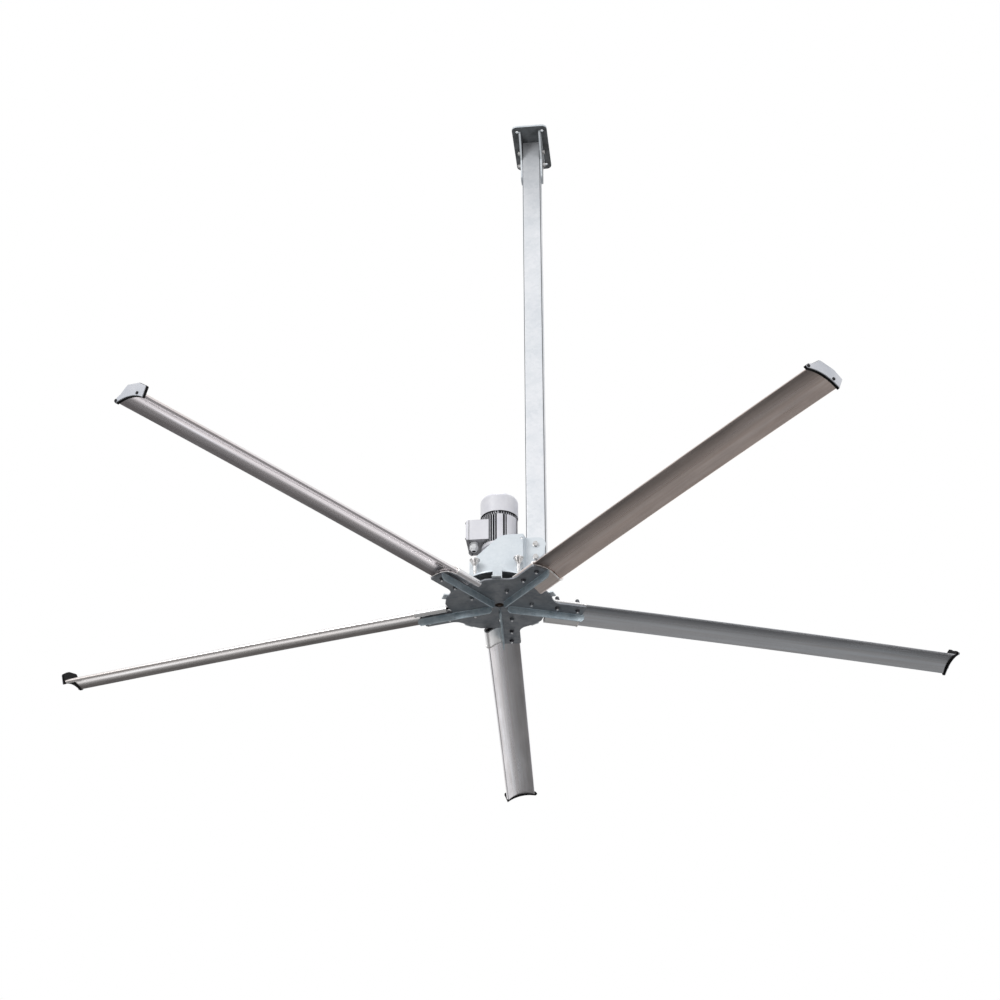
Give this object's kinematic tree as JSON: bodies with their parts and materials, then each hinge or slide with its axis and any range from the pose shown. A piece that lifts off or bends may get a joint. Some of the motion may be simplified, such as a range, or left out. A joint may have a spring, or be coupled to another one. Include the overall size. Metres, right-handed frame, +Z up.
{
  "type": "livestock barn fan",
  "caption": "Large slow ceiling fan for a barn: gearmotor on a square down tube turns a star hub with long hollow sleeved blades that end in upturned tips.",
  "frame": {"origin": "centre of the ceiling plate's top face, on the down tube's axis", "axes": "+Z up out of the ceiling plate; the fan axis lies 189 mm from the tube on the -X side; the front bracket sheet faces -Y"},
  "size_m": [4.6897, 4.5384, 2.9625],
  "materials": {
    "galvanised_steel": "galvanised, pale",
    "cast_boss": "machined casting",
    "zinc_fasteners": "zinc plated",
    "bare_bolt": "dull, weathered",
    "extruded_aluminium": "mill finish",
    "rubber": "matt",
    "motor_paint": "satin",
    "gear_steel": "ground",
    "copper_winding": "varnished",
    "electrical_steel": "laminated",
    "black_plastic": "matt",
    "pale_plastic": "satin",
    "winglet_finish": "satin",
    "black_screws": "blackened"
  },
  "bodies": {
    "hanger": {"ceiling_plate": "galvanised_steel", "hanger_cheek_left": "galvanised_steel", "hanger_cheek_right": "galvanised_steel", "down_tube": "galvanised_steel", "through_bolts": "zinc_fasteners", "bracket_front_sheet": "galvanised_steel", "bracket_rear_sheet": "galvanised_steel", "base_plate": "galvanised_steel", "mount_bushes": "zinc_fasteners", "mount_bolts": "zinc_fasteners", "gearbox_housing": "motor_paint", "bearing_bridge": "motor_paint", "gearbox_screws": "zinc_fasteners", "gearbox_bearings": "gear_steel", "output_seal": "rubber", "motor_adapter": "motor_paint", "motor_frame": "motor_paint", "motor_end_shield": "motor_paint", "stator_core": "electrical_steel", "stator_windings": "copper_winding", "motor_bearings": "gear_steel", "fan_cowl": "motor_paint", "motor_screws": "black_screws", "terminal_box": "motor_paint", "terminal_lid": "motor_paint", "cable_gland": "pale_plastic"},
    "motor_rotor": {"motor_shaft": "gear_steel", "rotor_core": "electrical_steel", "cooling_fan": "black_plastic"},
    "layshaft": {"layshaft": "gear_steel"},
    "fan_rotor": {"output_shaft": "gear_steel", "output_gear": "gear_steel", "hub_boss": "cast_boss", "hub_bolts": "zinc_fasteners", "shaft_end_bolt": "bare_bolt", "star_plate": "galvanised_steel", "hub_ribs": "galvanised_steel", "retaining_clips": "galvanised_steel", "blade_bolts": "zinc_fasteners", "cap_screws": "black_screws", "blade_sleeve_1": "galvanised_steel", "blade_1": "extruded_aluminium", "tip_cap_1": "black_plastic", "winglet_1": "winglet_finish", "blade_sleeve_2": "galvanised_steel", "blade_2": "extruded_aluminium", "tip_cap_2": "black_plastic", "winglet_2": "winglet_finish", "blade_sleeve_3": "galvanised_steel", "blade_3": "extruded_aluminium", "tip_cap_3": "black_plastic", "winglet_3": "winglet_finish", "blade_sleeve_4": "galvanised_steel", "blade_4": "extruded_aluminium", "tip_cap_4": "black_plastic", "winglet_4": "winglet_finish", "blade_sleeve_5": "galvanised_steel", "blade_5": "extruded_aluminium", "tip_cap_5": "black_plastic", "winglet_5": "winglet_finish"}
  },
  "joints": [
    {"name": "fan_spin", "type": "hinge", "parent": "hanger", "child": "fan_rotor", "pos_m": [-0.189, 0, -2.913], "axis": [0, 0, 1], "continuous": true},
    {"name": "layshaft_spin", "type": "hinge", "parent": "hanger", "child": "layshaft", "pos_m": [-0.239, 0, -2.913], "axis": [0, 0, 1], "continuous": true},
    {"name": "motor_spin", "type": "hinge", "parent": "hanger", "child": "motor_rotor", "pos_m": [-0.189, 0, -2.913], "axis": [0, 0, 1], "continuous": true}
  ],
  "couplings": [
    {"joint": "layshaft_spin", "follows": "fan_spin", "ratio": -4.7143},
    {"joint": "motor_spin", "follows": "fan_spin", "ratio": 20.429}
  ]
}
